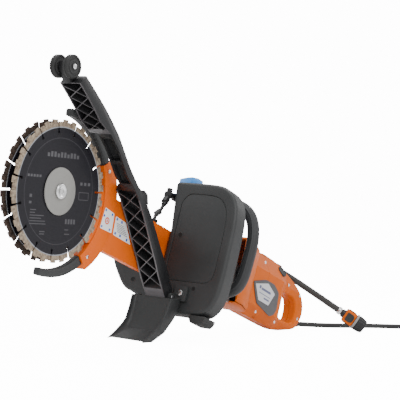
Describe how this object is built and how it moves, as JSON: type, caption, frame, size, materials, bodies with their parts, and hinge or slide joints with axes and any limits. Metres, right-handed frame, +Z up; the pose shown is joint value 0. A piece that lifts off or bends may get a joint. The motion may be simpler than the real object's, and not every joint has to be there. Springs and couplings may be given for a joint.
{
  "type": "rescue saw",
  "caption": "Electric rescue and wall saw with twin cutting discs on a slim arm, folding roller guard, splash shield, loop handle, rear D-handle, water valve, hose and cord.",
  "frame": {"origin": "on the floor, below the middle of the saw's bounding box without its hose and cord", "axes": "+X from the blades to the rear handle, -Y the operator's left, +Z up"},
  "size_m": [1.3058, 0.4969, 0.4628],
  "materials": {
    "cast_black": "satin moulded",
    "lever_black": "satin moulded",
    "rubber_black": "matt",
    "orange_paint": "satin",
    "orange_plastic": "semi-gloss moulded",
    "grey_plastic": "satin",
    "blade_steel": "satin black coat",
    "segment_near": "sintered",
    "segment_far": "sintered",
    "steel": "machined",
    "zinc": "plated",
    "alloy": "cast",
    "belt_rubber": "matt",
    "copper": "wound",
    "laminate": "stacked",
    "blue_plastic": "semi-gloss",
    "board_green": "lacquered",
    "brass": "turned"
  },
  "bodies": {
    "machine": {"arm_cover_left": "orange_paint", "arm_cover_right": "orange_paint", "arm_frame": "orange_paint", "arm_hose": "rubber_black", "ball_bearings": "steel", "brush_gear": "brass", "case_screws": "zinc", "control_board": "board_green", "cord_boot": "rubber_black", "cord_coil": "rubber_black", "cord_tail": "rubber_black", "coupler_body": "grey_plastic", "drive_belt": "belt_rubber", "front_handle_grip": "rubber_black", "front_handle_tube": "cast_black", "front_shield": "cast_black", "gear_case": "alloy", "guard_arc_lower": "rubber_black", "guard_arc_upper": "rubber_black", "guard_bracket": "orange_paint", "handle_insert": "grey_plastic", "hinge_bracket": "cast_black", "hinge_pins": "zinc", "hose_clamp": "zinc", "hose_fittings": "cast_black", "inspection_panel": "cast_black", "mains_plug": "rubber_black", "motor_housing": "orange_plastic", "plug_pins": "brass", "power_cord": "rubber_black", "power_switch": "grey_plastic", "rear_handle_left": "orange_plastic", "rear_handle_right": "orange_plastic", "shield_foot": "rubber_black", "splash_scoop": "cast_black", "stator": "laminate", "supply_hose": "rubber_black", "water_valve": "cast_black"},
    "blades": {"blade_core_left": "blade_steel", "blade_core_right": "blade_steel", "rim_segments_left": "segment_near", "rim_segments_right": "segment_far", "blade_spindle": "steel", "blade_flanges": "alloy", "blade_bolts": "zinc", "driven_pulley": "alloy"},
    "drive_shaft": {"cross_shaft": "steel", "drive_pulley": "alloy", "bevel_gear": "steel"},
    "rotor": {"pinion_shaft": "steel", "armature": "copper", "cooling_fan": "grey_plastic"},
    "roller_guard": {"roller_guard": "lever_black", "wheel_axle": "zinc"},
    "wheel_left": {"guard_wheel_left": "rubber_black"},
    "wheel_right": {"guard_wheel_right": "rubber_black"},
    "trigger": {"trigger": "cast_black"},
    "lock_button": {"lock_button": "cast_black"},
    "valve_knob": {"valve_knob": "blue_plastic"},
    "coupler_sleeve": {"coupler_sleeve": "orange_plastic"}
  },
  "joints": [
    {"name": "blade_spin", "type": "hinge", "parent": "machine", "child": "blades", "pos_m": [-0.326, 0.0255, 0.2466], "axis": [0, 1, 0], "continuous": true},
    {"name": "drive_spin", "type": "hinge", "parent": "machine", "child": "drive_shaft", "pos_m": [0.06903, 0.0255, 0.12959], "axis": [0, 1, 0], "continuous": true},
    {"name": "rotor_spin", "type": "hinge", "parent": "machine", "child": "rotor", "pos_m": [0.06903, -0.0165, 0.12959], "axis": [0.9588, 0, -0.284], "continuous": true},
    {"name": "guard_fold", "type": "hinge", "parent": "machine", "child": "roller_guard", "pos_m": [-0.04811, -0.0055, 0.07563], "axis": [0, 1, 0], "range_deg": [0, 45]},
    {"name": "wheel_left_spin", "type": "hinge", "parent": "roller_guard", "child": "wheel_left", "pos_m": [-0.35102, -0.0125, 0.44383], "axis": [0, 1, 0], "continuous": true},
    {"name": "wheel_right_spin", "type": "hinge", "parent": "roller_guard", "child": "wheel_right", "pos_m": [-0.35102, 0.014, 0.44383], "axis": [0, 1, 0], "continuous": true},
    {"name": "trigger_pull", "type": "hinge", "parent": "machine", "child": "trigger", "pos_m": [0.33874, -0.0165, 0.0789], "axis": [0, 1, 0], "range_deg": [0, 12], "stiffness_Nm_per_rad": 0.3, "springref_deg": -8.59},
    {"name": "lock_press", "type": "slide", "parent": "machine", "child": "lock_button", "axis": [-0.284, 0, -0.9588], "range_m": [0, 0.003], "stiffness_N_per_m": 400, "springref_m": -0.003},
    {"name": "water_turn", "type": "hinge", "parent": "machine", "child": "valve_knob", "pos_m": [0.0762, 0.0315, 0.27348], "axis": [0.284, 0, 0.9588], "range_deg": [0, 90]},
    {"name": "coupler_release", "type": "slide", "parent": "machine", "child": "coupler_sleeve", "axis": [-0.4231, 0.7542, 0.5022], "range_m": [0, 0.004], "stiffness_N_per_m": 900, "springref_m": -0.002}
  ],
  "couplings": [
    {"joint": "drive_spin", "follows": "blade_spin", "ratio": 0.75},
    {"joint": "rotor_spin", "follows": "blade_spin", "ratio": -2.25}
  ]
}
